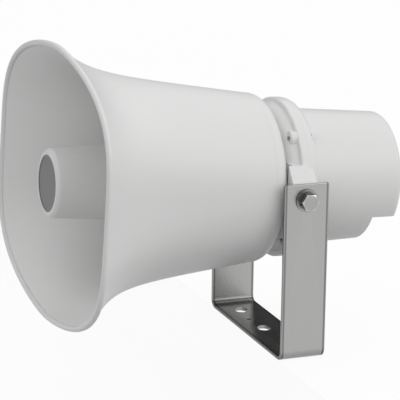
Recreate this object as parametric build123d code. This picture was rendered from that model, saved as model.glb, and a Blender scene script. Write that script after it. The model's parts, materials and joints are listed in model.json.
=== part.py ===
from build123d import *
import math
import os

# A reflex horn loudspeaker on a U bracket, in millimetres.
# World frame: origin in the middle of the row of slots, on the bracket's underside, +Z up.
# The horn fires towards -Y.
# Horn frame: origin on the pivot, axis on Y, mouth towards -Y. place_horn turns and lifts it.

# Bracket: one strip bent to a U
strip_width = 39.0
strip_thickness = 3.0
bend_inner_radius = 5.0
pivot_height = 136.0
leg_above_pivot = 13.6
leg_corner_radius = 1.5
strip_edge_radius = 0.9
slot_length = 14.0
slot_width = 11.0
slot_pitch = 52.0
slot_count = 3
slot_shift = 2.0
pilot_hole_diameter = 3.6
pilot_hole_x = -25.0
pilot_hole_y = -3.5

# Pivot hardware, M8
bolt_diameter = 8.0
bolt_running_gap = 0.1
bolt_length = 25.0
head_across_flats = 13.0
head_height = 5.3
head_washer_face = 0.4
head_face_margin = 0.3
head_corner_angle = 30.0
bolt_end_chamfer = 0.8
washer_diameter = 19.0
washer_thickness = 1.6
spring_washer_diameter = 14.8
spring_washer_thickness = 2.0
spring_washer_split = 1.6
spring_washer_turn = 20.0
lug_washer_diameter = 18.0
lug_washer_thickness = 1.0
nut_across_flats = 13.0
nut_height = 6.5
nut_pocket_gap = 0.15
nut_depth_in_lug = 6.0
thread_gap = 0.05

# Tilt of the horn at rest, nose up
tilt_at_rest = 3.0

# Flare: a round rear end that grows to a wide rounded mouth
mouth_width = 285.0
mouth_height = 227.0
mouth_y = -190.6
flare_rear_y = -11.0
flare_joint_y = -24.0
flare_overhang = 4.2
flare_joint_step = 0.2
flare_joint_tongue = 3.0
tongue_step = 0.6
flare_wall = 3.2
flare_shoulder_radius = 11.0
straight_growth_side = 17.6
straight_growth_top = 22.6
flare_power_side = 3.8
flare_power_top = 6.85
section_power = 1.3
section_crowding = 1.6
mouth_exponent_side = 1.63
mouth_exponent_top = 4.1
section_points = 24
lip_radius = 2.4
lip_overlap = 0.8
flare_stations = (0.0, 0.16, 0.33, 0.5, 0.64, 0.76, 0.86, 0.94, 1.0)
flare_boss_diameter = 9.0
flare_boss_length = 8.0

# Screws between flare and neck
flare_screw_edge = 9.0
flare_screw_diameter = 4.0
flare_screw_head_diameter = 8.0
flare_screw_head_height = 2.7
flare_screw_length = 14.0
screw_clearance = 0.3

# Neck housing and the parting plane
flare_gasket_thickness = 1.5
flare_gasket_margin = 2.0
neck_wall = 4.0
neck_front_step = 3.0
neck_sweep_step = 3.7
neck_arc_radius = 14.0
neck_sweep_y = 1.0
flange_land = 6.2
flange_bead_y = 1.3
flange_edge_radius = 0.8
parting_y = 5.1
housing_gap = 1.0
post_reach = 13.5
post_diameter = 12.2
post_front_y = -4.0
post_hole_diameter = 4.4
post_edge_radius = 0.8

# Lugs, half on the neck housing and half on the rear cover
lug_reach = 8.3
lug_half_height_root = 25.0
lug_half_height_face = 13.0
lug_slope_depth = 11.0
lug_root_depth = 12.0
lug_front_y = -11.3
lug_front_root_y = -8.0
lug_rear_depth = 5.0
lug_rear_step = 3.0
lug_edge_radius = 1.2

# Rear cover
cover_shoulder_y = 8.5
cover_shoulder_width = 9.5
cover_cylinder_y = 18.5
cover_draft = 4.4
cover_rear_y = 98.3
cover_rear_edge_radius = 6.0
cover_wall = 3.0
cover_floor_y = 12.0
notch_y = 75.0
notch_z = -25.2
shoulder_bulge_in = 2.6
shoulder_bulge_back = 6.6
pocket_diameter = 7.8
pocket_length = 16.0
housing_gasket_width = 3.0
housing_gasket_groove = 1.2
groove_margin = 0.5
groove_gap = 0.1

# Cover screws
cover_screw_diameter = 4.0
cover_screw_head_diameter = 7.0
cover_screw_head_height = 2.6
cover_screw_head_edge = 0.9
cover_screw_socket_diameter = 3.2
cover_screw_socket_floor = 1.2
cover_screw_length = 15.0

# Throat tube and reflector
throat_radius = 8.0
throat_mouth_radius = 14.5
tube_rear_wall = 3.5
tube_mouth_wall = 2.5
tube_flange_gap = 4.0
tube_flange_seat = 6.0
tube_flange_fillet = 2.0
tube_flange_fillet_length = 6.0
tube_flange_thickness = 3.0
turning_space = 28.6
fin_thickness = 2.6
fin_count = 4
fin_rear_depth = 66.6
fin_front_depth = 10.6
fin_corner_depth = 6.0
fin_corner_width = 8.0
fin_gap = 0.15
hub_radius = 6.5
hub_edge_radius = 5.5
hub_depth = 36.6
reflector_proud = 4.0
reflector_front_radius = 28.2
reflector_length = 136.6
reflector_rear_radius = 35.4
reflector_wall = 2.6
reflector_front_edge = 4.0
reflector_inner_corner = 9.0
reflector_rear_edge = 1.2
reflector_floor = 3.0
badge_margin = 5.0
badge_thickness = 1.0
badge_recess = 1.3
badge_gap = 0.1
badge_rim_width = 1.6
badge_rim_height = 0.25
reflector_screw_diameter = 5.0
reflector_screw_head_diameter = 9.0
reflector_screw_head_height = 2.2
reflector_screw_length = 18.0

# Compression driver
frame_radius = 46.0
frame_seat_width = 3.0
frame_boss_diameter = 7.4
dome_margin = 27.0
dome_height = 6.0
dome_thickness = 0.6
dome_rim_y = 6.0
dome_gap = 1.0
surround_width = 12.0
surround_radius = 1.6
surround_height = 0.9
surround_gap = 0.7
plug_radius = 5.6
plug_middle_radius = 4.2
plug_tip_radius = 1.1
plug_nose_length = 4.5
plug_web_thickness = 1.6
plug_web_step = 0.4
plug_nose_y = -8.0
ring_gap = 1.0
plate_front_y = 8.0
plate_thickness = 5.0
coil_gap_outside = 0.6
coil_gap_inside = 0.7
coil_former_thickness = 0.4
coil_winding_thickness = 0.5
coil_winding_length = 7.0
coil_end_y = 15.5
magnet_gap = 1.0
magnet_bore_step = 4.5
magnet_thickness = 16.0
magnet_chamfer = 1.0
yoke_step = 1.0
yoke_thickness = 5.0
yoke_chamfer = 1.0
pole_step = 0.5
pole_vent_radius = 4.0
driver_screw_edge = 3.8
driver_screw_diameter = 3.5
driver_screw_head_diameter = 6.4
driver_screw_head_height = 2.5
driver_screw_end = 1.5
driver_hole_end = 1.0

# Terminal strip and cable gland
terminal_length = 26.0
terminal_width = 11.0
terminal_height = 9.0
terminal_screw_diameter = 4.0
terminal_screw_gap = 0.5
terminal_screw_depth = 2.0
terminal_floor = 4.0
terminal_vent_gap = 3.0
gland_bore_diameter = 6.2
gland_neck_diameter = 10.0
gland_flange_diameter = 15.0
gland_front_flange = 2.0
gland_nose_length = 7.0
gland_nose_diameter = 11.0
gland_nose_end_diameter = 8.6
gland_seat_gap = 0.05

# Sizes that follow from the ones above
housing_bore_radius = frame_radius + housing_gap
post_circle = housing_bore_radius + post_reach
flange_radius = post_circle + flange_land
neck_front_radius = housing_bore_radius + neck_front_step
neck_sweep_radius = flange_radius - neck_sweep_step
flare_joint_radius = flange_radius + flare_overhang
lug_face_x = flange_radius + lug_reach
lug_break_x = lug_face_x - lug_slope_depth
lug_root_x = lug_break_x - lug_root_depth
leg_inner_x = lug_face_x + lug_washer_thickness
leg_outer_x = leg_inner_x + strip_thickness
half_width = strip_width / 2
bell_depth = flare_joint_y - mouth_y
neck_front_y = flare_rear_y + flare_gasket_thickness
neck_cavity_y = neck_front_y + neck_wall
tube_flange_y = neck_cavity_y
frame_floor_y = neck_cavity_y + tube_flange_thickness
frame_rear_y = dome_rim_y - surround_height - surround_gap
flare_screw_circle = housing_bore_radius - flare_screw_edge
flare_gasket_radius = neck_front_radius - flare_gasket_margin
cover_front_radius = flange_radius - cover_shoulder_width
cover_rear_radius = cover_front_radius - cover_draft
reflector_front_y = mouth_y - reflector_proud
reflector_rear_y = reflector_front_y + reflector_length
reflector_recess_y = reflector_front_y + badge_recess
reflector_floor_y = reflector_recess_y + reflector_floor
badge_radius = reflector_front_radius - badge_margin
tube_rear_radius = throat_radius + tube_rear_wall
tube_mouth_radius = throat_mouth_radius + tube_mouth_wall
tube_mouth_y = reflector_front_y + turning_space
tube_flange_radius = flare_screw_circle - flare_screw_head_diameter / 2 - tube_flange_gap
flare_bore_radius = tube_flange_radius - tube_flange_seat
fin_rear_y = reflector_front_y + fin_rear_depth
fin_front_y = reflector_front_y + fin_front_depth
hub_rear_y = reflector_front_y + hub_depth
dome_radius = frame_radius - dome_margin
coil_radius = dome_radius
rim_radius = dome_radius + surround_width
ring_inner_radius = rim_radius + ring_gap
plate_bore_radius = coil_radius + coil_former_thickness + coil_winding_thickness + coil_gap_outside
pole_radius = coil_radius - coil_gap_inside
magnet_bore_radius = plate_bore_radius + magnet_bore_step
driver_screw_circle = frame_radius - driver_screw_edge
magnet_radius = driver_screw_circle - driver_screw_head_diameter / 2 - magnet_gap
yoke_radius = magnet_radius - yoke_step
plate_rear_y = plate_front_y + plate_thickness
magnet_rear_y = plate_rear_y + magnet_thickness
yoke_rear_y = magnet_rear_y + yoke_thickness
gasket_inner_radius = housing_bore_radius + groove_margin
gasket_outer_radius = gasket_inner_radius + housing_gasket_width
diagonal_angles = (45, 135, 225, 315)
square_angles = (0, 90, 180, 270)

# Cutting tools run this far past the face they cut, or this far outside everything
past = 1.0
outside_all = mouth_width


def save(solid, name):
    solid.label = name
    export_step(solid, "parts/" + name + ".step")


def place_horn(solid):
    return Location((0, slot_shift, pivot_height), (-tilt_at_rest, 0, 0)) * solid


def turned(*lines):
    """The solid that a closed outline of (radius, y) sweeps out round the horn's axis."""
    return revolve(make_face(Wire(list(lines))), Axis.Y)


def turned_ring(points):
    return revolve(make_face(Polyline(*points, close=True)), Axis.Y)


def along_y(radius, y_from, y_to, x=0.0, z=0.0):
    """A round bar between two heights on Y."""
    middle = (y_from + y_to) / 2
    return Location((x, middle, z), (90, 0, 0)) * Cylinder(radius, abs(y_to - y_from))


def along_x(radius, x_from, x_to, y=0.0, z=0.0):
    middle = (x_from + x_to) / 2
    return Location((middle, y, z), (0, 90, 0)) * Cylinder(radius, abs(x_to - x_from))


def on_circle(radius, angle):
    return radius * math.cos(math.radians(angle)), radius * math.sin(math.radians(angle))


def block(x_from, x_to, y_from, y_to, z_from, z_to):
    size = (abs(x_to - x_from), abs(y_to - y_from), abs(z_to - z_from))
    return Pos((x_from + x_to) / 2, (y_from + y_to) / 2, (z_from + z_to) / 2) * Box(*size)


def u_bracket():
    """The strip's U is drawn in the XZ plane and given the strip's width along Y."""
    top = pivot_height + leg_above_pivot
    outer_radius = bend_inner_radius + strip_thickness
    outer = Rectangle(2 * leg_outer_x, top, align=(Align.CENTER, Align.MIN))
    outer = fillet(outer.vertices().group_by(Axis.Y)[0], outer_radius)
    inner = Pos(0, strip_thickness) * Rectangle(2 * leg_inner_x, top, align=(Align.CENTER, Align.MIN))
    inner = fillet(inner.vertices().group_by(Axis.Y)[0], bend_inner_radius)
    strip = Rot(90, 0, 0) * extrude(outer - inner, half_width, both=True)
    leg_tips = [edge for edge in strip.edges().filter_by(Axis.X)
                if edge.center().Z > top - strip_edge_radius]
    strip = fillet(leg_tips, leg_corner_radius)
    sides = strip.faces().filter_by(Axis.Y)
    strip = fillet([edge for face in sides for edge in face.edges()
                    if edge.center().Z < top - leg_corner_radius], strip_edge_radius)
    strip = Pos(0, slot_shift, 0) * strip
    for side in (-1, 1):
        strip -= along_x(bolt_diameter / 2 + bolt_running_gap, side * (leg_inner_x - past),
                         side * (leg_outer_x + past), y=slot_shift, z=pivot_height)
    slot = extrude(SlotOverall(slot_length, slot_width), strip_thickness * 2, both=True)
    for number in range(slot_count):
        x = (number - (slot_count - 1) / 2) * slot_pitch
        strip -= Pos(x, 0, 0) * slot
    pilot = Cylinder(pilot_hole_diameter / 2, strip_thickness * 4)
    return strip - Pos(pilot_hole_x, pilot_hole_y, 0) * pilot


def hexagon_bar(across_flats, length, x):
    """A six-sided bar along X, from x outwards, with two flats facing up and down."""
    radius = across_flats / 2 / math.cos(math.pi / 6)
    return Location((x, 0, 0), (0, 90, 0)) * extrude(RegularPolygon(radius, 6, rotation=30), length)


def pivot_bolt():
    """The bolt of the +X side, in the horn frame."""
    seat_x = leg_outer_x + washer_thickness + spring_washer_thickness
    end_x = seat_x - bolt_length
    head = hexagon_bar(head_across_flats, head_height, seat_x)
    # The head's corners are turned off, and its bearing face is a round step
    face_radius = head_across_flats / 2 - head_face_margin
    corner_radius = head_across_flats / 2 / math.cos(math.pi / 6)
    drop = (corner_radius - face_radius) * math.tan(math.radians(head_corner_angle))
    outside_x = seat_x + head_height
    wide = corner_radius + thread_gap
    step_x = seat_x + head_washer_face
    cone = make_face(Polyline((0, step_x), (wide, step_x), (wide, outside_x - drop),
                              (face_radius, outside_x), (0, outside_x), close=True))
    turned_head = Rot(0, 0, -90) * revolve(cone, Axis.Y)
    head = head & turned_head
    head += along_x(face_radius, seat_x, seat_x + 2 * head_washer_face)
    shank = along_x(bolt_diameter / 2, end_x, seat_x)
    shank = chamfer(shank.edges().group_by(Axis.X)[0], bolt_end_chamfer)
    return head + shank


def washer(diameter, thickness, x, split=0.0):
    """A round washer on the bolt, from x outwards."""
    ring = along_x(diameter / 2, x, x + thickness)
    ring -= along_x(bolt_diameter / 2 + thread_gap, x - past, x + thickness + past)
    if split:
        cut = Pos(0, -diameter / 2, 0) * Box(thickness * 4, diameter, split)
        ring -= Pos(x + thickness / 2, 0, 0) * Rot(spring_washer_turn, 0, 0) * cut
    return ring


def captive_nut():
    nut = hexagon_bar(nut_across_flats, nut_height, lug_face_x - nut_depth_in_lug - nut_height)
    return nut - along_x(bolt_diameter / 2 + thread_gap, 0, leg_outer_x)


def both_sides(solid):
    """The solid and its copy turned round to the other side of the horn."""
    return Compound([solid, Rot(0, 180, 0) * solid])


def flare_half_sizes(share):
    """Half width and half height of the bell's outside, from its joint (0) to the mouth (1)."""
    side_rest = mouth_width / 2 - flare_joint_radius - straight_growth_side
    top_rest = mouth_height / 2 - flare_joint_radius - straight_growth_top
    half_x = flare_joint_radius + straight_growth_side * share + side_rest * share ** flare_power_side
    half_z = flare_joint_radius + straight_growth_top * share + top_rest * share ** flare_power_top
    return half_x, half_z


def flare_outline(y, side_inset, top_inset):
    """A closed smooth curve: a circle at the rear, a rounded rectangle with bowed sides at the mouth."""
    share = (flare_joint_y - y) / bell_depth
    half_x, half_z = flare_half_sizes(share)
    mix = share ** section_power
    points = []
    for number in range(section_points):
        turn = 2 * math.pi * number / section_points
        rise = math.copysign(abs(math.sin(turn)) ** section_crowding, math.sin(turn))
        run = math.copysign(math.sqrt(max(1 - rise * rise, 0)), math.cos(turn))
        mouth_run = math.copysign(abs(run) ** (2 / mouth_exponent_side), run)
        mouth_rise = math.copysign(abs(rise) ** (2 / mouth_exponent_top), rise)
        x = (half_x - side_inset) * ((1 - mix) * run + mix * mouth_run)
        z = (half_z - top_inset) * ((1 - mix) * rise + mix * mouth_rise)
        points.append((x, y, z))
    return Spline(*points, periodic=True)


def flare_insets(share):
    """Insets of the bell's inside, larger where a side leans more, so that the wall stays even."""
    side_rest = mouth_width / 2 - flare_joint_radius - straight_growth_side
    top_rest = mouth_height / 2 - flare_joint_radius - straight_growth_top
    side_growth = straight_growth_side + side_rest * flare_power_side * share ** (flare_power_side - 1)
    top_growth = straight_growth_top + top_rest * flare_power_top * share ** (flare_power_top - 1)
    return (flare_wall * math.hypot(1, side_growth / bell_depth),
            flare_wall * math.hypot(1, top_growth / bell_depth))


def bell_shell():
    """The bell as two lofted skins with an even wall between them, closed by a ring at each end."""
    front_y = mouth_y + lip_overlap
    outer_faces, inner_faces = [], []
    for station in flare_stations:
        y = flare_joint_y + (front_y - flare_joint_y) * station
        outer_faces.append(make_face(flare_outline(y, 0, 0)))
        inner_faces.append(make_face(flare_outline(y, *flare_insets((flare_joint_y - y) / bell_depth))))
    outside, inside = loft(outer_faces), loft(inner_faces)
    outer_ends = outside.faces().filter_by(GeomType.PLANE).sort_by(Axis.Y)
    inner_ends = inside.faces().filter_by(GeomType.PLANE).sort_by(Axis.Y)
    rings = [Face(outer.outer_wire(), [inner.outer_wire()]) for outer, inner in zip(outer_ends, inner_ends)]
    skins = [solid.faces().filter_by(GeomType.PLANE, reverse=True)[0] for solid in (outside, inside)]
    return Solid(Shell(skins + rings))


def flare_rear():
    """The flare's rear wall with its round shoulder and a tongue inside the bell's wall."""
    edge = flare_joint_radius - flare_joint_step
    inner = edge - flare_wall - past
    flat = edge - flare_shoulder_radius
    middle = flare_shoulder_radius * math.sqrt(0.5)
    arc_y = flare_rear_y - flare_shoulder_radius
    tongue_y = flare_joint_y - flare_joint_tongue
    wall_y = flare_rear_y - flare_wall
    return turned(
        Line((flare_bore_radius, flare_rear_y), (flat, flare_rear_y)),
        ThreePointArc((flat, flare_rear_y), (flat + middle, arc_y + middle), (edge, arc_y)),
        Line((edge, arc_y), (edge, flare_joint_y)),
        Line((edge, flare_joint_y), (edge - tongue_step, flare_joint_y)),
        Line((edge - tongue_step, flare_joint_y), (edge - tongue_step, tongue_y)),
        Line((edge - tongue_step, tongue_y), (inner, tongue_y)),
        Line((inner, tongue_y), (inner, arc_y)),
        Line((inner, arc_y), (flat, wall_y)),
        Line((flat, wall_y), (flare_bore_radius, wall_y)),
        Line((flare_bore_radius, wall_y), (flare_bore_radius, flare_rear_y)),
    )


def horn_flare():
    bell = bell_shell() + flare_rear()
    # The lip is a round bead along the mouth, swept a quarter at a time
    path = flare_outline(mouth_y, lip_radius, lip_radius)
    for quarter in range(4):
        stretch = path.trim(quarter / 4, (quarter + 1) / 4)
        bead = sweep(Plane(stretch @ 0, z_dir=stretch % 0) * Circle(lip_radius), path=stretch)
        lip = bead if quarter == 0 else lip + bead
    bell += lip
    inner_y = flare_rear_y - flare_wall
    for angle in diagonal_angles:
        x, z = on_circle(flare_screw_circle, angle)
        bell += along_y(flare_boss_diameter / 2, inner_y + past, inner_y - flare_boss_length, x, z)
        bell -= along_y(flare_screw_diameter / 2 + thread_gap, flare_rear_y + past,
                        inner_y - flare_boss_length + past, x, z)
    return bell


def flare_screws():
    screws = []
    for angle in diagonal_angles:
        x, z = on_circle(flare_screw_circle, angle)
        head_y = neck_cavity_y + flare_screw_head_height
        head = along_y(flare_screw_head_diameter / 2, neck_cavity_y, head_y, x, z)
        shank = along_y(flare_screw_diameter / 2, neck_cavity_y, neck_cavity_y - flare_screw_length, x, z)
        screws.append(head + shank)
    return Compound(screws)


def flare_gasket():
    gasket = along_y(flare_gasket_radius, flare_rear_y, neck_front_y)
    gasket -= along_y(flare_bore_radius, flare_rear_y - past, neck_front_y + past)
    hole_radius = flare_screw_diameter / 2 + screw_clearance
    for angle in diagonal_angles:
        x, z = on_circle(flare_screw_circle, angle)
        gasket -= along_y(hole_radius, flare_rear_y - past, neck_front_y + past, x, z)
    return gasket


def lug(y_from, y_to, root_x, shrink):
    """A half-lug on the +X side, a wedge that is widest where it meets the flange."""
    root_height = lug_half_height_root - shrink
    outline = Polyline((root_x, root_height), (lug_break_x, root_height),
                       (lug_face_x, lug_half_height_face), (lug_face_x, -lug_half_height_face),
                       (lug_break_x, -root_height), (root_x, -root_height), close=True)
    return Pos(0, y_from, 0) * extrude(Plane.XZ * make_face(outline), -(y_to - y_from))


def neck_housing():
    sweep_start = (neck_front_radius, neck_front_y)
    sweep_end = (neck_sweep_radius, neck_sweep_y)
    housing = turned(
        Line((flare_bore_radius, neck_front_y), sweep_start),
        RadiusArc(sweep_start, sweep_end, -neck_arc_radius),
        Line(sweep_end, (neck_sweep_radius, flange_bead_y)),
        Line((neck_sweep_radius, flange_bead_y), (flange_radius - flange_edge_radius, flange_bead_y)),
        RadiusArc((flange_radius - flange_edge_radius, flange_bead_y),
                  (flange_radius, flange_bead_y + flange_edge_radius), flange_edge_radius),
        Line((flange_radius, flange_bead_y + flange_edge_radius), (flange_radius, parting_y)),
        Line((flange_radius, parting_y), (housing_bore_radius, parting_y)),
        Line((housing_bore_radius, parting_y), (housing_bore_radius, neck_cavity_y)),
        Line((housing_bore_radius, neck_cavity_y), (flare_bore_radius, neck_cavity_y)),
        Line((flare_bore_radius, neck_cavity_y), (flare_bore_radius, neck_front_y)),
    )
    for angle in diagonal_angles:
        x, z = on_circle(post_circle, angle)
        post = along_y(post_diameter / 2, post_front_y, parting_y, x, z)
        housing += fillet(post.edges().group_by(Axis.Y)[0], post_edge_radius)
    half_lug = lug(lug_front_y, parting_y, lug_root_x, 0)
    # The lug's inner part stands back from the flare's shoulder
    half_lug -= block(lug_root_x - past, lug_break_x, lug_front_y - past, lug_front_root_y,
                      -outside_all, outside_all)
    half_lug = fillet(half_lug.edges().filter_by(Axis.Y).group_by(Axis.X)[-1], lug_edge_radius * 2)
    housing += half_lug
    housing += Rot(0, 180, 0) * half_lug
    for angle in diagonal_angles:
        x, z = on_circle(post_circle, angle)
        housing -= along_y(post_hole_diameter / 2, post_front_y - past, parting_y + past, x, z)
        x, z = on_circle(flare_screw_circle, angle)
        housing -= along_y(flare_screw_diameter / 2 + screw_clearance, neck_front_y - past,
                           neck_cavity_y + past, x, z)
    for angle in square_angles:
        x, z = on_circle(driver_screw_circle, angle)
        housing -= along_y(driver_screw_diameter / 2 + thread_gap, neck_front_y + driver_hole_end,
                           neck_cavity_y + past, x, z)
    for cut in (nut_pocket(), bolt_bore()):
        housing -= cut
        housing -= Rot(0, 180, 0) * cut
    return housing


def nut_pocket():
    """The hollow of the +X lug that holds its nut, half of it on each side of the parting plane."""
    corner = nut_across_flats / 2 / math.cos(math.pi / 6) + nut_pocket_gap
    half_height = nut_across_flats / 2 + nut_pocket_gap
    outer_x = lug_face_x - nut_depth_in_lug
    return block(outer_x - nut_height - nut_pocket_gap, outer_x + nut_pocket_gap, -corner, corner,
                 -half_height, half_height)


def bolt_bore():
    bolt_end_x = leg_outer_x + washer_thickness + spring_washer_thickness - bolt_length
    return along_x(bolt_diameter / 2 + bolt_running_gap, bolt_end_x - past, lug_face_x + past)


def housing_gasket():
    ring = along_y(gasket_outer_radius - groove_gap, parting_y, parting_y + housing_gasket_groove)
    return ring - along_y(gasket_inner_radius + groove_gap, parting_y - past,
                          parting_y + housing_gasket_groove + past)


def cover_radius(y):
    """Outside radius of the cover's drafted cylinder."""
    share = (y - cover_cylinder_y) / (cover_rear_y - cover_cylinder_y)
    return cover_front_radius - cover_draft * share


def gland_height():
    """The middle of the notch's upright wall."""
    return (notch_z - cover_radius(notch_y)) / 2


def rear_cover():
    front = (cover_front_radius, cover_cylinder_y)
    rear = (cover_rear_radius, cover_rear_y)
    shoulder_start = (flange_radius, cover_shoulder_y)
    shoulder_middle = (flange_radius - shoulder_bulge_in, cover_shoulder_y + shoulder_bulge_back)
    outside = turned(
        Line((0, parting_y), (flange_radius, parting_y)),
        Line((flange_radius, parting_y), shoulder_start),
        ThreePointArc(shoulder_start, shoulder_middle, front),
        Line(front, rear),
        Line(rear, (0, cover_rear_y)),
        Line((0, cover_rear_y), (0, parting_y)),
    )
    outside = fillet(outside.edges().group_by(Axis.Y)[-1], cover_rear_edge_radius)
    outside -= block(-outside_all, outside_all, notch_y, cover_rear_y + past, notch_z, -outside_all)
    end_y = cover_rear_y - cover_wall
    bell_y = cover_cylinder_y + past
    inside = turned_ring([(0, parting_y - past), (housing_bore_radius, parting_y - past),
                          (housing_bore_radius, cover_floor_y), (cover_radius(bell_y) - cover_wall, bell_y),
                          (cover_radius(end_y) - cover_wall, end_y), (0, end_y)])
    inside = fillet(inside.edges().group_by(Axis.Y)[-1], cover_rear_edge_radius - cover_wall)
    inside -= block(-outside_all, outside_all, notch_y - cover_wall, cover_rear_y + past,
                    notch_z + cover_wall, -outside_all)
    cover = outside - inside
    half_lug = lug(parting_y, parting_y + lug_rear_depth, lug_root_x, lug_rear_step)
    half_lug = fillet(half_lug.edges().filter_by(Axis.Y).group_by(Axis.X)[-1], lug_edge_radius * 2)
    cover += half_lug
    cover += Rot(0, 180, 0) * half_lug
    cover -= nut_pocket()
    cover -= Rot(0, 180, 0) * nut_pocket()
    for angle in diagonal_angles:
        x, z = on_circle(post_circle, angle)
        cover -= along_y(pocket_diameter / 2, cover_floor_y, cover_floor_y + pocket_length, x, z)
        cover -= along_y(cover_screw_diameter / 2 + screw_clearance, parting_y - past,
                         cover_floor_y + past, x, z)
    groove = along_y(gasket_outer_radius, parting_y - past, parting_y + housing_gasket_groove)
    groove -= along_y(gasket_inner_radius, parting_y - 2 * past, parting_y + housing_gasket_groove + past)
    cover -= groove
    cover -= along_y(gland_neck_diameter / 2, notch_y - cover_wall - past, notch_y + past, z=gland_height())
    return cover


def cover_screws():
    screws = []
    for angle in diagonal_angles:
        x, z = on_circle(post_circle, angle)
        head_y = cover_floor_y + cover_screw_head_height
        head = along_y(cover_screw_head_diameter / 2, cover_floor_y, head_y, x, z)
        head = fillet(head.edges().group_by(Axis.Y)[-1], cover_screw_head_edge)
        shank = along_y(cover_screw_diameter / 2, cover_floor_y, cover_floor_y - cover_screw_length, x, z)
        socket_y = cover_floor_y + cover_screw_socket_floor
        socket = along_y(cover_screw_socket_diameter / 2, socket_y, head_y + past, x, z)
        screws.append(head + shank - socket)
    return Compound(screws)


def reflector_radius(y):
    """Outside radius of the reflector's cone."""
    share = (y - reflector_front_y) / (reflector_rear_y - reflector_front_y)
    return reflector_front_radius + (reflector_rear_radius - reflector_front_radius) * share


def reflector():
    outside = turned_ring([(0, reflector_front_y), (reflector_front_radius, reflector_front_y),
                           (reflector_rear_radius, reflector_rear_y), (0, reflector_rear_y)])
    outside = fillet(outside.edges().group_by(Axis.Y)[0], reflector_front_edge)
    floor_y = reflector_floor_y
    end_y = reflector_rear_y + past
    inside = turned_ring([(0, floor_y), (reflector_radius(floor_y) - reflector_wall, floor_y),
                          (reflector_radius(end_y) - reflector_wall, end_y), (0, end_y)])
    inside = fillet(inside.edges().group_by(Axis.Y)[0], reflector_inner_corner)
    cup = outside - inside
    cup = fillet(cup.edges().group_by(Axis.Y)[-1], reflector_rear_edge)
    recess_y = reflector_recess_y
    cup -= along_y(badge_radius + badge_gap, reflector_front_y - past, recess_y)
    cup -= along_y(reflector_screw_head_diameter / 2 + screw_clearance, recess_y - past,
                   recess_y + reflector_screw_head_height)
    cup -= along_y(reflector_screw_diameter / 2 + screw_clearance, recess_y, floor_y + past)
    return cup


def reflector_screw():
    seat_y = reflector_recess_y + reflector_screw_head_height
    head = along_y(reflector_screw_head_diameter / 2, reflector_recess_y + badge_gap, seat_y)
    return head + along_y(reflector_screw_diameter / 2, seat_y, seat_y + reflector_screw_length)


def reflector_badge():
    """A plain disc with a low rim, seated in the reflector's recess."""
    face_y = reflector_recess_y - badge_thickness
    badge = along_y(badge_radius, face_y - badge_rim_height, reflector_recess_y)
    return badge - along_y(badge_radius - badge_rim_width, face_y - badge_rim_height - past, face_y)


def throat_tube():
    """A tapered tube with a clamped flange, four fins and a hub for the reflector's screw."""
    tube = turned_ring([(throat_radius, tube_flange_y + tube_flange_thickness),
                        (tube_flange_radius, tube_flange_y + tube_flange_thickness),
                        (tube_flange_radius, tube_flange_y),
                        (tube_rear_radius + tube_flange_fillet, tube_flange_y),
                        (tube_rear_radius, tube_flange_y - tube_flange_fillet_length),
                        (tube_mouth_radius, tube_mouth_y),
                        (throat_mouth_radius, tube_mouth_y)])
    outer_rear = reflector_radius(fin_rear_y) - reflector_wall - fin_gap
    outer_front = reflector_radius(fin_front_y) - reflector_wall - fin_gap
    fin_root = throat_mouth_radius + tube_mouth_wall / 2
    fin_face = make_face(Polyline((0, hub_rear_y), (fin_root, hub_rear_y), (fin_root, fin_rear_y),
                                  (outer_rear, fin_rear_y), (outer_front, fin_front_y + fin_corner_depth),
                                  (outer_front - fin_corner_width, fin_front_y), (0, fin_front_y),
                                  close=True))
    for number in range(fin_count):
        fin = extrude(fin_face, fin_thickness / 2, both=True)
        tube += Rot(0, 45 + 360 / fin_count * number, 0) * fin
    hub = along_y(hub_radius, reflector_floor_y, hub_rear_y)
    hub = fillet(hub.edges().group_by(Axis.Y)[-1], hub_edge_radius)
    tube += hub
    screw_end = reflector_recess_y + reflector_screw_head_height + reflector_screw_length
    tube -= along_y(reflector_screw_diameter / 2 + thread_gap, reflector_floor_y - past, screw_end + past)
    return tube


def dome_sphere_radius(base_radius, height):
    return (base_radius ** 2 + height ** 2) / (2 * height)


def dome_dish():
    """The ball whose near side follows the dome at an even gap."""
    curve = dome_sphere_radius(dome_radius + dome_gap, dome_height)
    return Pos(0, dome_rim_y - dome_height + curve, 0) * Sphere(curve + dome_gap)


def driver_frame():
    """The front plate of the driver: a seat ring, a clamp face for the tube and a dished rear face."""
    hollow_radius = frame_radius - frame_seat_width
    frame = turned_ring([(throat_radius, frame_floor_y), (hollow_radius, frame_floor_y),
                         (hollow_radius, neck_cavity_y), (frame_radius, neck_cavity_y),
                         (frame_radius, frame_rear_y), (throat_radius, frame_rear_y)])
    frame -= dome_dish()
    for angle in square_angles:
        x, z = on_circle(driver_screw_circle, angle)
        frame += along_y(frame_boss_diameter / 2, neck_cavity_y, frame_floor_y + past, x, z)
        frame -= along_y(driver_screw_diameter / 2 + thread_gap, neck_cavity_y - past,
                         frame_rear_y + past, x, z)
    return frame


def phase_plug():
    """A bullet on three webs in the throat, dished to follow the dome."""
    dish_y = dome_rim_y - dome_height - dome_gap
    body = turned_ring([(0, plug_nose_y), (plug_tip_radius, plug_nose_y),
                        (plug_middle_radius, plug_nose_y + plug_nose_length),
                        (plug_radius, frame_rear_y), (0, frame_rear_y)])
    webs = block(plug_tip_radius, throat_radius - thread_gap, frame_floor_y, dish_y + plug_web_step,
                 -plug_web_thickness / 2, plug_web_thickness / 2)
    for number in range(3):
        body += Rot(0, 120 * number, 0) * webs
    return body - dome_dish()


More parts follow.
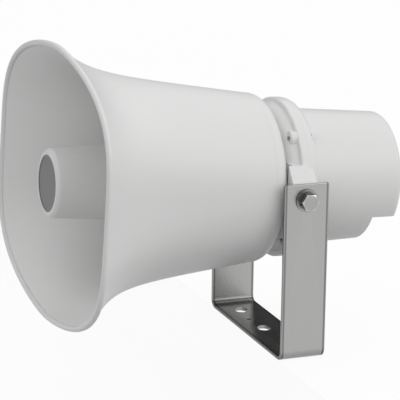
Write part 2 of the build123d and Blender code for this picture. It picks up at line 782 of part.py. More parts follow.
def diaphragm():
    """A thin dome with a half-round surround and a flat rim."""
    curve = dome_sphere_radius(dome_radius, dome_height)
    apex_y = dome_rim_y - dome_height
    half_angle = math.asin(dome_radius / curve) / 2
    mid = (curve * math.sin(half_angle), apex_y + curve - curve * math.cos(half_angle))
    back_y = dome_rim_y + dome_thickness
    roll = dome_radius + surround_width / 2
    roll_in, roll_out = roll - surround_radius, roll + surround_radius
    return turned(
        Line((0, apex_y), (0, apex_y + dome_thickness)),
        ThreePointArc((0, apex_y + dome_thickness), (mid[0], mid[1] + dome_thickness),
                      (dome_radius, back_y)),
        Line((dome_radius, back_y), (roll_in, back_y)),
        ThreePointArc((roll_in, back_y), (roll, back_y - surround_height), (roll_out, back_y)),
        Line((roll_out, back_y), (rim_radius, back_y)),
        Line((rim_radius, back_y), (rim_radius, dome_rim_y)),
        Line((rim_radius, dome_rim_y), (roll_out, dome_rim_y)),
        ThreePointArc((roll_out, dome_rim_y), (roll, dome_rim_y - surround_height), (roll_in, dome_rim_y)),
        Line((roll_in, dome_rim_y), (dome_radius, dome_rim_y)),
        ThreePointArc((dome_radius, dome_rim_y), mid, (0, apex_y)),
    )


def voice_coil():
    start_y = dome_rim_y + dome_thickness
    former = turned_ring([(coil_radius, start_y), (coil_radius + coil_former_thickness, start_y),
                          (coil_radius + coil_former_thickness, coil_end_y), (coil_radius, coil_end_y)])
    outer = coil_radius + coil_former_thickness + coil_winding_thickness
    core = coil_radius + coil_former_thickness / 2
    winding_y = coil_end_y - coil_winding_length
    winding = turned_ring([(core, winding_y), (outer, winding_y), (outer, coil_end_y), (core, coil_end_y)])
    return former + winding


def driver_plate(inner, y_from, y_to):
    plate = along_y(frame_radius, y_from, y_to) - along_y(inner, y_from - past, y_to + past)
    for angle in square_angles:
        x, z = on_circle(driver_screw_circle, angle)
        plate -= along_y(driver_screw_diameter / 2 + screw_clearance, y_from - past, y_to + past, x, z)
    return plate


def driver_screws():
    screws = []
    for angle in square_angles:
        x, z = on_circle(driver_screw_circle, angle)
        head_y = plate_rear_y + driver_screw_head_height
        head = along_y(driver_screw_head_diameter / 2, plate_rear_y, head_y, x, z)
        shank = along_y(driver_screw_diameter / 2, plate_rear_y, neck_front_y + driver_screw_end, x, z)
        screws.append(head + shank)
    return Compound(screws)


def magnet_ring():
    ring = turned_ring([(magnet_bore_radius, plate_rear_y), (magnet_radius, plate_rear_y),
                        (magnet_radius, magnet_rear_y), (magnet_bore_radius, magnet_rear_y)])
    return chamfer(ring.edges().filter_by(GeomType.CIRCLE).filter_by(
        lambda edge: edge.radius > magnet_radius - past), magnet_chamfer)


def yoke():
    pole_y = plate_front_y + pole_step
    return turned_ring([(pole_vent_radius, pole_y), (pole_radius, pole_y), (pole_radius, magnet_rear_y),
                        (yoke_radius, magnet_rear_y), (yoke_radius, yoke_rear_y - yoke_chamfer),
                        (yoke_radius - yoke_chamfer, yoke_rear_y),
                        (pole_vent_radius, yoke_rear_y)])


def terminal_strip():
    """A block with two clamp screws, on the yoke above its vent."""
    z = pole_vent_radius + terminal_vent_gap + terminal_width / 2
    strip = block(-terminal_length / 2, terminal_length / 2, yoke_rear_y, yoke_rear_y + terminal_height,
                  z - terminal_width / 2, z + terminal_width / 2)
    for side in (-1, 1):
        x = side * terminal_length / 4
        strip -= along_y(terminal_screw_diameter / 2 + terminal_screw_gap, yoke_rear_y + terminal_floor,
                         yoke_rear_y + terminal_height + past, x, z)
        strip += along_y(terminal_screw_diameter / 2, yoke_rear_y + terminal_floor / 2,
                         yoke_rear_y + terminal_height - terminal_screw_depth, x, z)
    return strip


def cable_gland():
    z = gland_height()
    inner_y = notch_y - cover_wall
    gland = along_y(gland_flange_diameter / 2, inner_y - gland_front_flange, inner_y, z=z)
    gland += along_y(gland_neck_diameter / 2 - gland_seat_gap, inner_y - past, notch_y + past, z=z)
    gland += along_y(gland_flange_diameter / 2, notch_y, notch_y + gland_front_flange, z=z)
    nose_y = notch_y + gland_front_flange
    nose = Location((0, nose_y + gland_nose_length / 2, z), (-90, 0, 0)) * Cone(
        gland_nose_diameter / 2, gland_nose_end_diameter / 2, gland_nose_length)
    gland += nose
    gland -= along_y(gland_bore_diameter / 2, inner_y - gland_front_flange - past,
                     nose_y + gland_nose_length + past, z=z)
    return gland


def main():
    os.makedirs("parts", exist_ok=True)
    save(u_bracket(), "u_bracket")
    spring_x = leg_outer_x + washer_thickness
    horn_pieces = {
        "pivot_bolts": both_sides(pivot_bolt()),
        "flat_washers": both_sides(washer(washer_diameter, washer_thickness, leg_outer_x)),
        "spring_washers": both_sides(washer(spring_washer_diameter, spring_washer_thickness, spring_x,
                                            spring_washer_split)),
        "lug_washers": both_sides(washer(lug_washer_diameter, lug_washer_thickness, lug_face_x)),
        "captive_nuts": both_sides(captive_nut()),
        "horn_flare": horn_flare(),
        "flare_screws": flare_screws(),
        "flare_gasket": flare_gasket(),
        "neck_housing": neck_housing(),
        "housing_gasket": housing_gasket(),
        "rear_cover": rear_cover(),
        "cover_screws": cover_screws(),
        "throat_tube": throat_tube(),
        "reflector": reflector(),
        "reflector_screw": reflector_screw(),
        "reflector_badge": reflector_badge(),
        "driver_frame": driver_frame(),
        "phase_plug": phase_plug(),
        "diaphragm": diaphragm(),
        "voice_coil": voice_coil(),
        "diaphragm_ring": driver_plate(ring_inner_radius, frame_rear_y, plate_front_y),
        "top_plate": driver_plate(plate_bore_radius, plate_front_y, plate_rear_y),
        "driver_screws": driver_screws(),
        "magnet_ring": magnet_ring(),
        "yoke": yoke(),
        "terminal_strip": terminal_strip(),
        "cable_gland": cable_gland(),
    }
    for name, solid in horn_pieces.items():
        save(place_horn(solid), name)


main()
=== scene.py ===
import json
import math

import bmesh
import bpy
from mathutils import Matrix, Vector


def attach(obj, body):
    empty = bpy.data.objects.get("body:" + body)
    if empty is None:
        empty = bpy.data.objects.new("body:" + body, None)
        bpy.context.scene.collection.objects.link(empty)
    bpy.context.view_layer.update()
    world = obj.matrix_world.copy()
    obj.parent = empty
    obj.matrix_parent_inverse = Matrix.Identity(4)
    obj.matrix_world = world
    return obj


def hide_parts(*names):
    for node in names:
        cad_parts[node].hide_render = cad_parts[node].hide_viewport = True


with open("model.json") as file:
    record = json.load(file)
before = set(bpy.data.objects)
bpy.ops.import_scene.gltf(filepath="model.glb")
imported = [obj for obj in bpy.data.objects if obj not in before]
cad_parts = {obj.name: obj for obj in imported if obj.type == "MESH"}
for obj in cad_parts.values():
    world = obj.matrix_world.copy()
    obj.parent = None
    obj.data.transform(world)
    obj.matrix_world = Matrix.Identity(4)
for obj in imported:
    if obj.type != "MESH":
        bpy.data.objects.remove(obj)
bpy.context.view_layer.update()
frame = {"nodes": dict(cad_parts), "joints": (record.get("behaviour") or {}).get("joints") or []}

MM = 0.001

# Pivot of the horn in the frame, its tilt at rest, and the horn's own axis
tilt_joint = next(joint for joint in frame["joints"] if joint["name"] == "tilt")
PIVOT = Vector(tilt_joint["pos_m"])
TILT = math.radians(-3.0)
HORN = Matrix.Translation(PIVOT) @ Matrix.Rotation(TILT, 4, "X")

# Sizes of the horn in millimetres, in its own frame, as the solids have them
BELL = {
    "Mouth width": 285.0, "Mouth height": 227.0, "Depth": 166.6, "Joint radius": 70.9, "Wall": 3.2,
    "Growth side": 17.6, "Growth top": 22.6, "Lip radius": 2.4, "Boss radius": 4.5, "Boss circle": 38.0,
}
POWER_SIDE, POWER_TOP = 3.8, 6.85
SECTION_POWER, EXPONENT_SIDE, EXPONENT_TOP, CROWDING = 1.3, 1.63, 4.1, 1.6
JOINT_Y, REAR_Y, WALL_Y, TONGUE_Y, LIP_OVERLAP = -24.0, -11.0, -14.2, -27.0, 0.8
BORE, SHOULDER, EDGE, TONGUE_RADIUS, BOSS_LENGTH = 24.0, 11.0, 70.7, 66.5, 8.0
AROUND = 240

# Middle and half width of the bracket's strip, in metres
STRIP_Y = 0.002
STRIP_HALF = 0.0195

# How far inside the strip's cut edges the painted dark reflection line runs, and how far the floor drops past
# the bracket
REFLECTION_LINE_INSET = 0.0016
FLOOR_DROP = 0.1


class Value:
    """A socket that Python's operators work on. Each operator adds the node that does its sum."""

    def __init__(self, nodes, socket):
        self.nodes = nodes
        self.socket = socket

    def beside(self, name):
        """Another output of the same node."""
        return Value(self.nodes, self.socket.node.outputs[name])

    def sum(self, operation, *values):
        return self.nodes.node("ShaderNodeMath", {"operation": operation}, dict(enumerate(values)))

    def __add__(self, other):
        return self.sum("ADD", self, other)

    def __radd__(self, other):
        return self.sum("ADD", other, self)

    def __sub__(self, other):
        return self.sum("SUBTRACT", self, other)

    def __rsub__(self, other):
        return self.sum("SUBTRACT", other, self)

    def __mul__(self, other):
        return self.sum("MULTIPLY", self, other)

    def __rmul__(self, other):
        return self.sum("MULTIPLY", other, self)

    def __truediv__(self, other):
        return self.sum("DIVIDE", self, other)

    def __pow__(self, other):
        return self.sum("POWER", self, other)

    def most(self, other):
        return self.sum("MAXIMUM", self, other)

    def bent(self, power):
        """The value's size raised to a power, with its sign kept."""
        return self.sum("SIGN", self) * self.sum("ABSOLUTE", self) ** power


class Nodes:
    """A node tree, built a node at a time."""

    def __init__(self, tree):
        self.tree = tree

    def join(self, target, value):
        if isinstance(value, Value):
            self.tree.links.new(value.socket, target)
        elif isinstance(value, (tuple, list)) and len(value) == 3 and target.type == "RGBA":
            target.default_value = (*value, 1.0)
        else:
            target.default_value = value

    def node(self, kind, settings=None, sockets=None, output=0):
        """Adds a node: its settings first, then its sockets' values or links."""
        node = self.tree.nodes.new(kind)
        for name, value in (settings or {}).items():
            setattr(node, name, value)
        for name, value in (sockets or {}).items():
            for part in value if isinstance(value, set) else [value]:
                self.join(node.inputs[name], part)
        return Value(self, node.outputs[output] if node.outputs else None)


class Finish(Nodes):
    """A material with one shader."""

    def __init__(self, name, colour, roughness, metallic=0.0, **constants):
        self.material = bpy.data.materials.new(name)
        self.material.use_nodes = True
        super().__init__(self.material.node_tree)
        self.tree.nodes.clear()
        shader = self.node("ShaderNodeBsdfPrincipled")
        self.shader = shader.socket.node
        self.node("ShaderNodeOutputMaterial", sockets={"Surface": shader})
        self.set("Base Color", colour)
        self.set("Roughness", roughness)
        self.set("Metallic", metallic)
        for socket, value in constants.items():
            self.set(socket.replace("_", " "), value)
        self.material.diffuse_color = (*colour, 1.0)

    def set(self, socket, value):
        """Gives one of the shader's sockets a number, a colour or a link."""
        self.join(self.shader.inputs[socket], value)

    def place(self, scale=(1, 1, 1), turn=(0, 0, 0)):
        """The piece's own coordinates, stretched and turned."""
        here = self.node("ShaderNodeTexCoord", output="Object")
        return self.node("ShaderNodeMapping", sockets={"Vector": here, "Scale": scale, "Rotation": turn})

    def noise(self, where, scale, detail=3.0, rough=0.5):
        return self.node("ShaderNodeTexNoise", sockets={
            "Vector": where, "Scale": scale, "Detail": detail, "Roughness": rough})

    def facing(self):
        """The way that the piece's surface looks, split along the axes."""
        normal = self.node("ShaderNodeTexCoord", output="Normal")
        return self.node("ShaderNodeSeparateXYZ", sockets={0: normal})

    def edges(self, low=0.52, high=0.6):
        """1 along sharp outer edges, where wear shows, 0 elsewhere."""
        pointed = self.node("ShaderNodeNewGeometry", output="Pointiness")
        return self.node("ShaderNodeMapRange", {"clamp": True}, {
            "Value": pointed, "From Min": low, "From Max": high})

    def shade(self, colour, amount):
        """The colour made lighter or darker by a number near 1."""
        return self.node("ShaderNodeVectorMath", {"operation": "SCALE"}, {0: colour, "Scale": amount})

    def bump(self, height, depth, strength=1.0):
        """Raises the surface by depth metres where height is 1."""
        normal = self.node("ShaderNodeBump", sockets={
            "Height": height, "Distance": depth, "Strength": strength})
        self.set("Normal", normal)


class Shape(Nodes):
    """A Geometry Nodes tree whose named inputs are sizes."""

    def __init__(self, name, sizes):
        super().__init__(bpy.data.node_groups.new(name, "GeometryNodeTree"))
        self.sizes = sizes
        interface = self.tree.interface
        self.identifiers = {
            label: interface.new_socket(label, in_out="INPUT", socket_type="NodeSocketFloat").identifier
            for label in sizes}
        interface.new_socket("Geometry", in_out="OUTPUT", socket_type="NodeSocketGeometry")
        self.entry = self.tree.nodes.new("NodeGroupInput")

    def size(self, label):
        return Value(self, self.entry.outputs[label])

    def point(self, x, y, z):
        return self.node("ShaderNodeCombineXYZ", sockets={0: x, 1: y, 2: z})

    def joined(self, *parts):
        return self.node("GeometryNodeJoinGeometry", sockets={0: set(parts)})

    def moved(self, part, **change):
        return self.node("GeometryNodeTransform", sockets={"Geometry": part, **change})

    def mesh(self, result, material):
        """The tree's result as a plain mesh in the frame."""
        real = self.node("GeometryNodeRealizeInstances", sockets={"Geometry": result})
        painted = self.node("GeometryNodeSetMaterial", sockets={"Geometry": real, "Material": material})
        self.node("NodeGroupOutput", sockets={"Geometry": painted})
        holder = bpy.data.objects.new(self.tree.name, bpy.data.meshes.new(self.tree.name))
        bpy.context.scene.collection.objects.link(holder)
        modifier = holder.modifiers.new(self.tree.name, "NODES")
        modifier.node_group = self.tree
        for label, value in self.sizes.items():
            modifier[self.identifiers[label]] = value
        graph = bpy.context.evaluated_depsgraph_get()
        mesh = bpy.data.meshes.new_from_object(holder.evaluated_get(graph))
        holder.modifiers.remove(modifier)
        bpy.data.objects.remove(holder)
        mesh.transform(HORN @ Matrix.Scale(MM, 4))
        return mesh


def moulded(name, colour, roughness, grain=0.00002, **constants):
    """Satin moulding: faint flow marks, a fine skin and slightly polished edges."""
    finish = Finish(name, colour, roughness, **constants)
    where = finish.place()
    flow = finish.noise(where, 9.0, 2.0)
    skin = finish.noise(where, 900.0, 2.0)
    edge = finish.edges()
    finish.set("Base Color", finish.shade(colour, 0.975 + flow * 0.03 + skin * 0.012 + edge * 0.02))
    finish.set("Roughness", roughness - 0.05 + flow * 0.06 + skin * 0.06 - edge * 0.05)
    finish.bump(skin + flow * 0.4, grain)
    return finish.material


def brushed(name, colour, roughness, stretch, contrast=0.05):
    """Rolled sheet: fine lines and faint clouds, with a painted dark reflection on the bottom plate, painted
    shade on the faces turned along Y at the cut edges, and a painted dark reflection line beside them.
    """
    finish = Finish(name, colour, roughness, metallic=1.0)
    lines = finish.noise(finish.place(stretch), 1.0, 2.0)
    clouds = finish.noise(finish.place(), 14.0, 3.0)
    edge = finish.edges(0.53, 0.62)
    here = finish.node("ShaderNodeSeparateXYZ", sockets={0: finish.place()})
    # Painted reflection: the bottom plate, below 10 mm height, is painted darker as if it mirrored dark
    # surroundings
    painted_base_reflection = finish.node("ShaderNodeMapRange", {"interpolation_type": "SMOOTHSTEP"}, {
        "Value": here.beside("Z"), "From Min": 0.010, "From Max": 0.003})
    aside = here.beside("Y") - STRIP_Y
    # Painted reflection: a dark line painted along the strip, just inside each cut edge
    painted_reflection_line = finish.node("ShaderNodeMapRange", {"interpolation_type": "SMOOTHSTEP"}, {
        "Value": aside.sum("ABSOLUTE", aside.sum("ABSOLUTE", aside) - (STRIP_HALF - REFLECTION_LINE_INSET)),
        "From Min": 0.0012, "From Max": 0.0003})
    facing = finish.facing()
    # Painted shade: faces turned along Y, the strip's cut edges, are painted darker
    painted_edge_shade = finish.node("ShaderNodeMapRange", sockets={
        "Value": aside.sum("ABSOLUTE", facing.beside("Y")), "From Min": 0.5, "From Max": 0.8})
    # Tone: grain, clouds and edges that wear lighter, less the painted reflection on the bottom plate, the
    # painted edge shade and the painted reflection line
    tone = (1.0 - contrast / 2 + lines * contrast + clouds * 0.06 + edge * 0.1
            - painted_base_reflection * 0.3 - painted_edge_shade * 0.4 - painted_reflection_line * 0.55)
    finish.set("Base Color", finish.shade(colour, tone))
    finish.set("Roughness", roughness - 0.05 + lines * 0.06 + clouds * 0.04 - edge * 0.06 - painted_base_reflection * 0.04)
    finish.bump(lines, 0.000003)
    return finish.material


def turned_metal(name, colour, roughness, grain=320.0, painted_light_amount=0.0):
    """Fastener metal with faint handling marks. The painted light amount paints shade on faces turned away
    from X, the hex sides, and a painted highlight on the chamfers.
    """
    finish = Finish(name, colour, roughness, metallic=1.0)
    where = finish.place()
    marks = finish.noise(where, grain, 3.0, 0.6)
    clouds = finish.noise(where, 60.0, 2.0)
    edge = finish.edges()
    facing = finish.facing()
    along = facing.sum("ABSOLUTE", facing)
    # Painted highlight: faces turned about 45 degrees to X, the chamfers, are painted lighter
    painted_chamfer_highlight = finish.node("ShaderNodeMapRange", sockets={
        "Value": along.sum("ABSOLUTE", along - 0.7), "From Min": 0.28, "From Max": 0.2})
    # Painted shade: faces turned away from X, the hex sides, are painted darker
    painted_flank_shade = finish.node("ShaderNodeMapRange", sockets={"Value": along, "From Min": 0.4, "From Max": 0.2})
    tone = 0.93 + marks * 0.08 + clouds * 0.05 + edge * 0.08 + (painted_chamfer_highlight * 0.35 - painted_flank_shade * 0.7) * painted_light_amount
    finish.set("Base Color", finish.shade(colour, tone))
    finish.set("Roughness", roughness - 0.04 + marks * 0.08 + clouds * 0.05)
    finish.bump(marks, 0.00001)
    return finish.material


def rubbery(name, colour):
    finish = Finish(name, colour, 0.62)
    where = finish.place()
    skin = finish.noise(where, 700.0, 3.0)
    bloom = finish.noise(where, 40.0, 3.0)
    finish.set("Base Color", finish.shade(colour, 0.85 + bloom * 0.3 + skin * 0.1))
    finish.set("Roughness", 0.55 + bloom * 0.14 + skin * 0.05)
    finish.bump(skin, 0.00003)
    return finish.material


SHELL = moulded("shell_plastic", (0.785, 0.785, 0.78), 0.42)
BADGE = moulded("badge_plastic", (0.12, 0.12, 0.125), 0.4, grain=0.000012)
DARK = moulded("dark_plastic", (0.035, 0.035, 0.038), 0.45)
NYLON = moulded("nylon", (0.72, 0.71, 0.67), 0.5)
# The legs' finish carries a painted dark reflection on the bottom plate, painted shade on the cut edges and a
# painted reflection line beside them
LEGS = brushed("bracket_legs", (0.38, 0.38, 0.375), 0.3, (12.0, 2600.0, 12.0))
# Bolts and washers carry the full painted shade on their side faces and the painted highlight on their
# chamfers
BOLTS = turned_metal("bolt_steel", (0.38, 0.38, 0.375), 0.2, painted_light_amount=1.0)
# Washers: the bolt steel painted darker, as painted shade for the dark rings round the bolt heads
SHADED_WASHERS = turned_metal("washer_steel", (0.3, 0.3, 0.295), 0.25, painted_light_amount=1.0)
RUBBER = rubbery("seal_rubber", (0.03, 0.03, 0.03))
ALUMINIUM = turned_metal("cast_aluminium", (0.62, 0.62, 0.63), 0.38, grain=500.0)
ZINC = turned_metal("plated_steel", (0.55, 0.55, 0.5), 0.3)
COPPER = turned_metal("coil_copper", (0.7, 0.35, 0.17), 0.3)
FERRITE = rubbery("ground_ferrite", (0.05, 0.05, 0.052))
FILM = moulded("dome_film", (0.42, 0.24, 0.08), 0.35)

NODE_FINISH = {
    "u_bracket": LEGS, "pivot_bolts": BOLTS, "spring_washers": SHADED_WASHERS, "flat_washers": SHADED_WASHERS,
    "lug_washers": NYLON, "captive_nuts": BOLTS, "horn_flare": SHELL, "reflector": SHELL,
    "reflector_badge": BADGE, "reflector_screw": BOLTS, "neck_housing": SHELL, "rear_cover": SHELL,
    "cover_screws": BOLTS, "throat_tube": DARK, "flare_gasket": RUBBER, "flare_screws": BOLTS,
    "housing_gasket": RUBBER, "driver_frame": ALUMINIUM, "phase_plug": DARK, "diaphragm": FILM,
    "voice_coil": COPPER, "diaphragm_ring": ALUMINIUM, "top_plate": ZINC, "magnet_ring": FERRITE,
    "yoke": ZINC, "driver_screws": BOLTS, "terminal_strip": DARK, "cable_gland": RUBBER,
}
for node_name, finish_material in NODE_FINISH.items():
    node_mesh = frame["nodes"][node_name].data
    node_mesh.materials.clear()
    node_mesh.materials.append(finish_material)


def finished(mesh, name, material, body, slot, *nodes):
    """A finished piece: its mesh in place, its material, its body and the nodes it stands for."""
    piece = bpy.data.objects.new(name, mesh)
    bpy.context.scene.collection.objects.link(piece)
    mesh.materials.clear()
    mesh.materials.append(material)
    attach(piece, body)
    if nodes:
        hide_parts(*nodes)
    return piece


def smooth_by_angle(mesh, degrees):
    """Shades the mesh smooth and keeps its edges sharper than the angle."""
    work = bmesh.new()
    work.from_mesh(mesh)
    limit = math.radians(degrees)
    for face in work.faces:
        face.smooth = True
    for edge in work.edges:
        edge.smooth = len(edge.link_faces) == 2 and edge.calc_face_angle(0.0) < limit
    work.to_mesh(mesh)
    work.free()


def dressed(node, material, body, slot, degrees=28.0):
    """A copy of a node with its triangles joined and its curved faces shaded smooth."""
    mesh = frame["nodes"][node].data.copy()
    work = bmesh.new()
    work.from_mesh(mesh)
    bmesh.ops.remove_doubles(work, verts=work.verts, dist=0.000002)
    work.to_mesh(mesh)
    work.free()
    smooth_by_angle(mesh, degrees)
    return finished(mesh, node + "_piece", material, body, slot, node)


def outward(mesh):
    """Turns the faces of a closed mesh outwards."""
    work = bmesh.new()
    work.from_mesh(mesh)
    bmesh.ops.recalc_face_normals(work, faces=work.faces)
    work.to_mesh(mesh)
    work.free()


def around(turn):
    """Place on a unit circle, with the points crowded a little towards its sides."""
    rise = turn.sum("SINE", turn).bent(CROWDING)
    flat = (1.0 - rise * rise).most(0.0) ** 0.5
    return turn.sum("SIGN", turn.sum("COSINE", turn)) * flat, rise


def circle(radius, y):
    """A ring round the horn's axis, as a rule that gives a point for each turn."""
    def rule(turn):
        run, rise = around(turn)
        return run * radius, y, rise * radius
    return rule


def bell_ring(shape, share, walls=0.0, lips=0.0):
    """The bell's section, from its joint (share 0) to its mouth (1), inset by walls or lip radii."""
    def rule(turn):
        depth, radius, wall = shape.size("Depth"), shape.size("Joint radius"), shape.size("Wall")
        halves = []
        for label, growth, power in (("Mouth width", "Growth side", POWER_SIDE),
                                     ("Mouth height", "Growth top", POWER_TOP)):
            straight = shape.size(growth)
            rest = shape.size(label) / 2 - radius - straight
            slope = (straight + rest * power * share_of ** (power - 1)) / depth
            inset = wall * walls * (1.0 + slope * slope) ** 0.5 + shape.size("Lip radius") * lips
            halves.append(radius + straight * share_of + rest * share_of ** power - inset)
        run, rise = around(turn)
        mix = share_of ** SECTION_POWER
        x = halves[0] * ((1.0 - mix) * run + mix * run.bent(2 / EXPONENT_SIDE))
        z = halves[1] * ((1.0 - mix) * rise + mix * rise.bent(2 / EXPONENT_TOP))
        return x, JOINT_Y - share_of * depth, z
    share_of = share if isinstance(share, Value) else shape.node("ShaderNodeMath", sockets={0: share, 1: 0.0})
    return rule


def sheet(shape, rows, rule_of):
    """A sheet wrapped round the horn's axis; rule_of gives the ring's rule for a row's share."""
    grid = shape.node("GeometryNodeMeshGrid", sockets={
        "Size X": 1.0, "Size Y": 1.0, "Vertices X": rows, "Vertices Y": AROUND + 1})
    here = shape.node("ShaderNodeSeparateXYZ", sockets={0: shape.node("GeometryNodeInputPosition")})
    turn = (here.beside("Y") + 0.5) * (2 * math.pi)
    place = shape.point(*rule_of(here + 0.5)(turn))
    return shape.node("GeometryNodeSetPosition", sockets={"Geometry": grid, "Position": place})


def between(shape, first, last):
    """A ruled sheet from one ring to another."""
    def rule_of(share):
        def rule(turn):
            return [start + (end - start) * share for start, end in zip(first(turn), last(turn))]
        return rule
    return sheet(shape, 2, rule_of)


def flare_mesh():
    """The flare: a bell that grows by its rule, an even wall, a rolled lip, the rear wall and its bosses."""
    shape = Shape("flare_bell", BELL)
    flat = EDGE - SHOULDER
    front = 1.0 - LIP_OVERLAP / BELL["Depth"]
    tongue = (JOINT_Y - TONGUE_Y) / BELL["Depth"]

    def shoulder(share):
        angle = share * (math.pi / 2)
        return circle(angle.sum("SINE", angle) * SHOULDER + flat,
                      angle.sum("COSINE", angle) * SHOULDER + (REAR_Y - SHOULDER))

    outside = sheet(shape, 84, lambda share: bell_ring(shape, share * front))
    inside = sheet(shape, 84, lambda share: bell_ring(shape, share * (front - tongue) + tongue, walls=1.0))
    rings = [
        (circle(BORE, REAR_Y), circle(flat, REAR_Y)),
        (circle(EDGE, REAR_Y - SHOULDER), circle(EDGE, JOINT_Y)),
        (circle(EDGE, JOINT_Y), bell_ring(shape, 0.0)),
        (bell_ring(shape, front), bell_ring(shape, front, walls=1.0)),
        (bell_ring(shape, tongue, walls=1.0), circle(TONGUE_RADIUS, TONGUE_Y)),
        (circle(TONGUE_RADIUS, TONGUE_Y), circle(TONGUE_RADIUS, REAR_Y - SHOULDER)),
        (circle(TONGUE_RADIUS, REAR_Y - SHOULDER), circle(flat, WALL_Y)),
        (circle(flat, WALL_Y), circle(BORE, WALL_Y)),
        (circle(BORE, WALL_Y), circle(BORE, REAR_Y)),
    ]
    wall = shape.joined(outside, inside, sheet(shape, 12, shoulder),
                        *(between(shape, first, last) for first, last in rings))
    wall = shape.node("GeometryNodeMergeByDistance", sockets={"Geometry": wall, "Distance": 0.01})
    # The lip is a round bead that follows the mouth
    mouth = shape.node("GeometryNodeCurvePrimitiveCircle", sockets={"Resolution": AROUND})
    turn = shape.node("GeometryNodeInputIndex") * (2 * math.pi / AROUND)
    place = shape.point(*bell_ring(shape, 1.0, lips=1.0)(turn))
    mouth = shape.node("GeometryNodeSetPosition", sockets={"Geometry": mouth, "Position": place})
    bead = shape.node("GeometryNodeCurvePrimitiveCircle", sockets={
        "Resolution": 20, "Radius": shape.size("Lip radius")})
    lip = shape.node("GeometryNodeCurveToMesh", sockets={"Curve": mouth, "Profile Curve": bead})
    # Four bosses stand on the inside of the rear wall
    boss = shape.node("GeometryNodeMeshCylinder", sockets={
        "Vertices": 32, "Radius": shape.size("Boss radius"), "Depth": BOSS_LENGTH})
    spots = shape.node("GeometryNodeMeshCircle", sockets={"Vertices": 4, "Radius": shape.size("Boss circle")})
    bosses = shape.node("GeometryNodeInstanceOnPoints", sockets={"Points": spots, "Instance": boss})
    bosses = shape.moved(bosses, Rotation=(0, 0, math.pi / 4))
    bosses = shape.moved(bosses, Translation=(0, WALL_Y - BOSS_LENGTH / 2, 0), Rotation=(math.pi / 2, 0, 0))
    mesh = shape.mesh(shape.joined(wall, lip, bosses), SHELL)
    outward(mesh)
    smooth_by_angle(mesh, 30.0)
    return mesh


def screws_mesh(name, seat_y, first_angle, sizes):
    """Four socket screws on a circle, their heads towards the rear."""
    shape = Shape(name, sizes)
    radius, height = shape.size("Head radius"), shape.size("Head height")
    side = height * 0.7
    head = shape.node("GeometryNodeMeshCylinder", sockets={"Vertices": 40, "Radius": radius, "Depth": side})
    head = shape.moved(head, Translation=shape.point(0.0, 0.0, side / 2))
    dome = shape.node("GeometryNodeMeshCone", sockets={
        "Vertices": 40, "Radius Top": radius * 0.86, "Radius Bottom": radius, "Depth": height - side})
    dome = shape.moved(dome, Translation=shape.point(0.0, 0.0, side))
    head = shape.node("GeometryNodeMeshBoolean", {"operation": "UNION"}, {"Mesh 2": {head, dome}})
    socket = shape.node("GeometryNodeMeshCylinder", sockets={
        "Vertices": 6, "Radius": shape.size("Socket radius"), "Depth": height})
    socket = shape.moved(socket, Translation=shape.point(0.0, 0.0, height))
    head = shape.node("GeometryNodeMeshBoolean", {"operation": "DIFFERENCE"}, {
        "Mesh 1": head, "Mesh 2": socket})
    length = shape.size("Length")
    shank = shape.node("GeometryNodeMeshCylinder", sockets={
        "Vertices": 32, "Radius": shape.size("Shank radius"), "Depth": length})
    shank = shape.moved(shank, Translation=shape.point(0.0, 0.0, length / -2.0))
    spots = shape.node("GeometryNodeMeshCircle", sockets={"Vertices": 4, "Radius": shape.size("Circle")})
    screws = shape.node("GeometryNodeInstanceOnPoints", sockets={
        "Points": spots, "Instance": shape.joined(head, shank)})
    screws = shape.moved(screws, Rotation=(0, 0, math.radians(first_angle)))
    screws = shape.moved(screws, Translation=(0, seat_y, 0), Rotation=(-math.pi / 2, 0, 0))
    mesh = shape.mesh(screws, BOLTS)
    smooth_by_angle(mesh, 30.0)
    return mesh


finished(flare_mesh(), "flare_bell", SHELL, "horn", "horn_plastic", "horn_flare")
SCREWS = {
    "cover_screws": (12.0, 45.0, {"Circle": 60.5, "Head radius": 3.5, "Head height": 2.6,
                                  "Socket radius": 1.7, "Shank radius": 2.0, "Length": 15.0}),
    "flare_screws": (-5.5, 45.0, {"Circle": 38.0, "Head radius": 4.0, "Head height": 2.7,
                                  "Socket radius": 1.7, "Shank radius": 2.0, "Length": 14.0}),
    "driver_screws": (13.0, 0.0, {"Circle": 42.2, "Head radius": 3.2, "Head height": 2.5,
                                  "Socket radius": 1.5, "Shank radius": 1.75, "Length": 21.0}),
}
for screw_node, (seat, angle, screw_sizes) in SCREWS.items():
    finished(screws_mesh(screw_node + "_tree", seat, angle, screw_sizes), screw_node + "_piece", BOLTS,
             "horn", "bolt_steel", screw_node)
for shell_node in ("neck_housing", "rear_cover", "reflector"):
    dressed(shell_node, SHELL, "horn", "horn_plastic")
dressed("reflector_badge", BADGE, "horn", "badge_grey")
dressed("u_bracket", LEGS, "bracket", "stainless_strip")
dressed("pivot_bolts", BOLTS, "horn", "bolt_steel")
# Spring and flat washers take the painted-darker copy of the bolt steel
for steel_node in ("spring_washers", "flat_washers"):
    dressed(steel_node, SHADED_WASHERS, "horn", "bolt_steel")
dressed("lug_washers", NYLON, "horn", "nylon")
dressed("throat_tube", DARK, "horn", "dark_plastic")
dressed("cable_gland", RUBBER, "horn", "gasket_rubber")


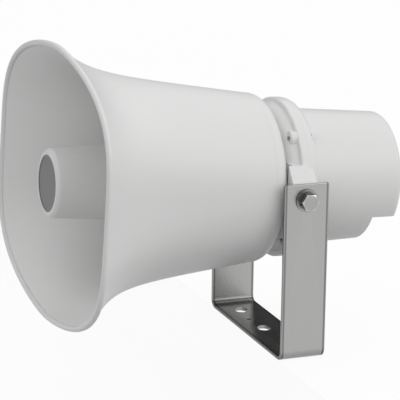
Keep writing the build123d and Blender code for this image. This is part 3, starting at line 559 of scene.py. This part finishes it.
def camera():
    """The photograph's camera: a long lens, aimed a little off the pivot."""
    azimuth, elevation, roll = (math.radians(angle) for angle in (68.86, 15.42, 0.83))
    distance, aside, above = 1936.6 * MM, -57.99 * MM, -19.63 * MM
    focal_pixels = 2315.5
    back = Vector((math.sin(azimuth) * math.cos(elevation), -math.cos(azimuth) * math.cos(elevation),
                   math.sin(elevation)))
    level = Vector((math.cos(azimuth), math.sin(azimuth), 0.0))
    rise = back.cross(level)
    right = level * math.cos(roll) + rise * math.sin(roll)
    up = rise * math.cos(roll) - level * math.sin(roll)
    data = bpy.data.cameras.new("camera")
    data.sensor_width = 36.0
    data.lens = data.sensor_width * focal_pixels / 400
    data.clip_start, data.clip_end = 0.05, 50.0
    eye = bpy.data.objects.new("camera", data)
    bpy.context.scene.collection.objects.link(eye)
    place = PIVOT + back * distance + right * aside + up * above
    eye.matrix_world = Matrix.Translation(place) @ Matrix((right, up, back)).transposed().to_4x4()
    bpy.context.scene.camera = eye


def lamp(name, place, target, size, power):
    data = bpy.data.lights.new(name, "AREA")
    data.shape = "RECTANGLE"
    data.size, data.size_y = size
    data.energy = power
    light = bpy.data.objects.new(name, data)
    bpy.context.scene.collection.objects.link(light)
    aim = Vector(target) - Vector(place)
    light.matrix_world = Matrix.Translation(place) @ aim.to_track_quat("-Z", "Y").to_matrix().to_4x4()


def card(name, place, size, grey):
    """An upright dark card, turned to the object, that only reflections see."""
    mesh = bpy.data.meshes.new(name)
    width, height = size[0] / 2, size[1] / 2
    mesh.from_pydata([(-width, -height, 0), (width, -height, 0), (width, height, 0), (-width, height, 0)],
                     [], [(0, 1, 2, 3)])
    sheet = bpy.data.objects.new(name, mesh)
    bpy.context.scene.collection.objects.link(sheet)
    sheet.location = place
    sheet.rotation_euler = (math.pi / 2, 0, math.atan2(place[1], place[0]) + math.pi / 2)
    sheet.visible_camera = sheet.visible_diffuse = sheet.visible_shadow = sheet.visible_transmission = False
    material = bpy.data.materials.new(name)
    material.use_nodes = True
    paint = Nodes(material.node_tree)
    paint.tree.nodes.clear()
    even = paint.node("ShaderNodeEmission", sockets={"Color": (grey, grey, grey), "Strength": 1.0})
    paint.node("ShaderNodeOutputMaterial", sockets={"Surface": even})
    mesh.materials.append(material)


def mixed(nodes, share, first, second):
    return nodes.node("ShaderNodeMixShader", sockets={0: share, 1: first, 2: second})


def white_when_seen(nodes, unseen, seen=None, share=1.0):
    """One shader for the rays that light the object; white, over some of another, for those that see it."""
    ray = nodes.node("ShaderNodeLightPath", output="Is Camera Ray")
    sees = ray.most(ray.beside("Is Glossy Ray")).most(ray.beside("Is Transmission Ray"))
    white = nodes.node("ShaderNodeEmission", sockets={"Strength": 1.0})
    return mixed(nodes, sees, unseen, mixed(nodes, share, seen, white) if seen else white)


def studio():
    """Pale floor with a step down past the bracket, white surroundings and soft light from above."""
    world = bpy.data.worlds.new("studio")
    world.use_nodes = True
    bpy.context.scene.world = world
    sky = Nodes(world.node_tree)
    sky.tree.nodes.clear()
    # The light from the front and above is a little weaker than the rest
    toward = sky.node("ShaderNodeTexCoord", output="Generated")
    toward = sky.node("ShaderNodeSeparateXYZ", sockets={0: toward})
    front = (toward.beside("Y") * -1.0).most(0.0) * (toward.beside("Z") + 0.3).most(0.0)
    full, weak = (sky.node("ShaderNodeBackground", sockets={"Color": (1.0, 1.0, 1.0), "Strength": strength})
                  for strength in (0.9, 0.55))
    light = mixed(sky, front, full, weak)
    sky.node("ShaderNodeOutputWorld", sockets={"Surface": white_when_seen(sky, light)})
    mesh = bpy.data.meshes.new("floor")
    reach, edge = 6.0, STRIP_Y - STRIP_HALF
    profile = [(-reach, -FLOOR_DROP), (edge, -FLOOR_DROP), (edge, 0.0), (reach, 0.0)]
    mesh.from_pydata([(side, y, z) for y, z in profile for side in (-reach, reach)],
                     [], [(step, step + 1, step + 3, step + 2) for step in (0, 2, 4)])
    floor = bpy.data.objects.new("floor", mesh)
    bpy.context.scene.collection.objects.link(floor)
    material = bpy.data.materials.new("floor")
    material.use_nodes = True
    paint = Nodes(material.node_tree)
    paint.tree.nodes.clear()
    grey, pale = (paint.node("ShaderNodeBsdfDiffuse", sockets={"Color": (tone, tone, tone)})
                  for tone in (0.4, 0.98))
    paint.node("ShaderNodeOutputMaterial", sockets={"Surface": white_when_seen(paint, grey, pale, 0.92)})
    mesh.materials.append(material)
    lamp("rear_right", (1.6, 1.6, 1.4), (0, -0.05, 0.15), (1.6, 1.6), 9.75)
    card("dark_card", (-1.0, 0.36, 0.32), (2.6, 0.64), 0.04)


camera()
studio()
bpy.context.scene.view_settings.view_transform = "Standard"
